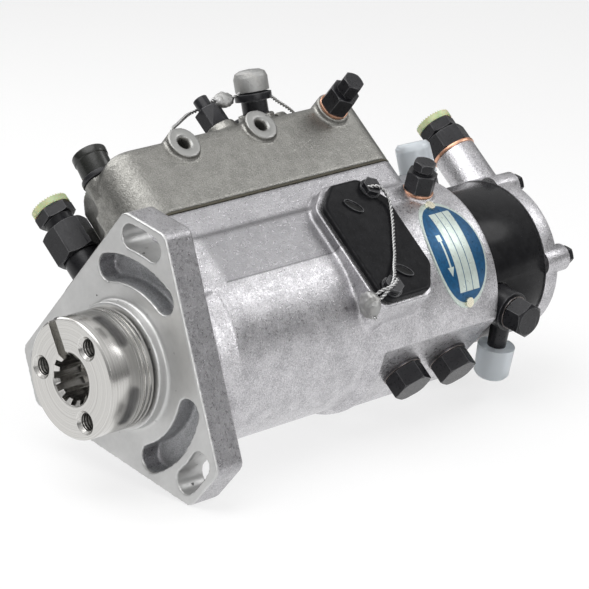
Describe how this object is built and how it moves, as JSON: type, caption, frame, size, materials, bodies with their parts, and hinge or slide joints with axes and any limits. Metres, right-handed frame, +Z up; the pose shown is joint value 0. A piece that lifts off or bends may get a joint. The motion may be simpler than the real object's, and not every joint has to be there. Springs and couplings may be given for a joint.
{
  "type": "diesel injection pump",
  "caption": "Flange mounted rotary diesel injection pump: cast housing, governor cover, splined drive hub, hydraulic head, capped delivery and inlet connections, mechanical governor inside.",
  "frame": {"origin": "centre of the flange's engine side face, on the drive axis", "axes": "+Y along the drive axis from the flange to the hydraulic head, +Z up to the governor cover, +X to the side with the inspection cover"},
  "size_m": [0.11, 0.2465, 0.1496],
  "materials": {
    "cast_aluminium": "as-cast and machined, satin",
    "cover_casting": "dull mottled casting",
    "turned_steel": "fine turned",
    "black_steel": "black phosphate",
    "cover_plate_black": "gloss black",
    "bright_steel": "plated",
    "inner_steel": "ground",
    "blade_carbon": "matt",
    "bronze": "turned",
    "copper": "soft copper",
    "seal_rubber": "matt",
    "gasket_fibre": "tan fibre",
    "green_plastic": "pale yellow green",
    "clear_plastic": "translucent",
    "black_plastic": "gloss",
    "plate_blue": "printed foil",
    "rivet_brass": "plain",
    "lead": "dull lead"
  },
  "bodies": {
    "housing": {"pump_housing": "cast_aluminium", "hub_bush": "bronze", "shaft_seal": "seal_rubber", "governor_bracket": "inner_steel", "hydraulic_head": "black_steel", "cam_ring": "inner_steel", "transfer_liner": "inner_steel", "governor_cover": "cover_casting", "cover_screws": "black_steel", "idle_lock_sleeve": "black_steel", "idle_screw": "black_steel", "stop_screw": "black_steel", "stop_cup": "bright_steel", "leakoff_connector": "bright_steel", "leakoff_cap": "black_plastic", "front_adaptor": "black_steel", "front_union": "black_steel", "inspection_cover": "cover_plate_black", "inspection_screws": "black_steel", "data_plate": "plate_blue", "plate_rivets": "rivet_brass", "bottom_screws": "black_steel", "banjo": "black_steel", "banjo_bolt": "black_steel", "delivery_unions": "black_steel", "delivery_caps": "clear_plastic", "end_plate": "cast_aluminium", "end_plate_screws": "black_steel", "inlet_adaptor": "black_steel", "lead_seal": "lead", "sealing_washers": "copper", "transit_plugs": "green_plastic", "vent_bodies": "black_steel", "vent_screws": "black_steel", "gaskets": "gasket_fibre"},
    "drive": {"drive_hub": "turned_steel", "drive_shaft": "inner_steel", "hub_screw": "inner_steel", "weight_carrier": "inner_steel", "rotor": "inner_steel", "transfer_rotor": "inner_steel"},
    "sleeve": {"thrust_sleeve": "inner_steel"},
    "weight_1": {"governor_weight_1": "inner_steel"},
    "weight_2": {"governor_weight_2": "inner_steel"},
    "weight_3": {"governor_weight_3": "inner_steel"},
    "weight_4": {"governor_weight_4": "inner_steel"},
    "arm": {"governor_arm": "inner_steel"},
    "linkage": {"linkage_rod": "inner_steel"},
    "valve": {"metering_valve": "inner_steel"},
    "throttle": {"throttle_shaft": "inner_steel"},
    "shutoff": {"shutoff_shaft": "inner_steel"},
    "tappet_1": {"plunger_1": "inner_steel", "roller_shoe_1": "inner_steel"},
    "tappet_2": {"plunger_2": "inner_steel", "roller_shoe_2": "inner_steel"},
    "roller_1": {"cam_roller_1": "inner_steel"},
    "roller_2": {"cam_roller_2": "inner_steel"},
    "blade_1": {"transfer_blade_1": "blade_carbon"},
    "blade_2": {"transfer_blade_2": "blade_carbon"},
    "piston": {"regulating_piston": "inner_steel"}
  },
  "joints": [
    {"name": "drive_spin", "type": "hinge", "parent": "housing", "child": "drive", "pos_m": [0, 0, 0], "axis": [0, 1, 0], "continuous": true},
    {"name": "thrust_sleeve_slide", "type": "slide", "parent": "drive", "child": "sleeve", "axis": [0, 1, 0], "range_m": [0, 0.0025]},
    {"name": "weight_1_swing", "type": "hinge", "parent": "drive", "child": "weight_1", "pos_m": [0, 0.035, 0.017], "axis": [1, 0, 0], "range_deg": [0, 22.5]},
    {"name": "weight_2_swing", "type": "hinge", "parent": "drive", "child": "weight_2", "pos_m": [0.017, 0.035, 0], "axis": [0, 0, -1], "range_deg": [0, 22.5]},
    {"name": "weight_3_swing", "type": "hinge", "parent": "drive", "child": "weight_3", "pos_m": [0, 0.035, -0.017], "axis": [-1, 0, 0], "range_deg": [0, 22.5]},
    {"name": "weight_4_swing", "type": "hinge", "parent": "drive", "child": "weight_4", "pos_m": [-0.017, 0.035, 0], "axis": [0, 0, 1], "range_deg": [0, 22.5]},
    {"name": "governor_arm_swing", "type": "hinge", "parent": "housing", "child": "arm", "pos_m": [0, 0.06315, 0.03], "axis": [1, 0, 0], "range_deg": [0, 7.5]},
    {"name": "linkage_slide", "type": "slide", "parent": "housing", "child": "linkage", "axis": [0, -1, 0], "range_m": [0, 0.0031]},
    {"name": "metering_valve_turn", "type": "hinge", "parent": "housing", "child": "valve", "pos_m": [0, 0.135, 0.03], "axis": [0, 0, 1], "range_deg": [-25, 0]},
    {"name": "throttle_turn", "type": "hinge", "parent": "housing", "child": "throttle", "pos_m": [0.008, 0.111, 0.07], "axis": [0, 0, 1], "range_deg": [-20, 20]},
    {"name": "shutoff_turn", "type": "hinge", "parent": "housing", "child": "shutoff", "pos_m": [-0.014, 0.124, 0.07], "axis": [0, 0, 1], "range_deg": [0, 40]},
    {"name": "tappet_1_slide", "type": "slide", "parent": "drive", "child": "tappet_1", "axis": [-0.9659, 0, -0.2588], "range_m": [0, 0.0019]},
    {"name": "roller_1_spin", "type": "hinge", "parent": "tappet_1", "child": "roller_1", "pos_m": [0.01912, 0.121, 0.00513], "axis": [0, 1, 0], "continuous": true},
    {"name": "tappet_2_slide", "type": "slide", "parent": "drive", "child": "tappet_2", "axis": [0.9659, 0, 0.2588], "range_m": [0, 0.0019]},
    {"name": "roller_2_spin", "type": "hinge", "parent": "tappet_2", "child": "roller_2", "pos_m": [-0.01912, 0.121, -0.00513], "axis": [0, 1, 0], "continuous": true},
    {"name": "blade_1_slide", "type": "slide", "parent": "drive", "child": "blade_1", "axis": [0.7071, 0, -0.7071], "range_m": [-0.0005, 0.0005]},
    {"name": "blade_2_slide", "type": "slide", "parent": "drive", "child": "blade_2", "axis": [0.7071, 0, 0.7071], "range_m": [-0.0005, 0.0005]},
    {"name": "regulating_piston_slide", "type": "slide", "parent": "housing", "child": "piston", "axis": [0, 0, 1], "range_m": [0, 0.004]}
  ],
  "couplings": [
    {"joint": "weight_1_swing", "follows": "thrust_sleeve_slide", "rad_per_m": 153.85},
    {"joint": "weight_2_swing", "follows": "thrust_sleeve_slide", "rad_per_m": 153.85},
    {"joint": "weight_3_swing", "follows": "thrust_sleeve_slide", "rad_per_m": 153.85},
    {"joint": "weight_4_swing", "follows": "thrust_sleeve_slide", "rad_per_m": 153.85},
    {"joint": "governor_arm_swing", "follows": "thrust_sleeve_slide", "rad_per_m": 50},
    {"joint": "linkage_slide", "follows": "thrust_sleeve_slide", "ratio": 1.2},
    {"joint": "metering_valve_turn", "follows": "thrust_sleeve_slide", "rad_per_m": -172.8},
    {"joint": "tappet_2_slide", "follows": "tappet_1_slide", "ratio": 1}
  ]
}
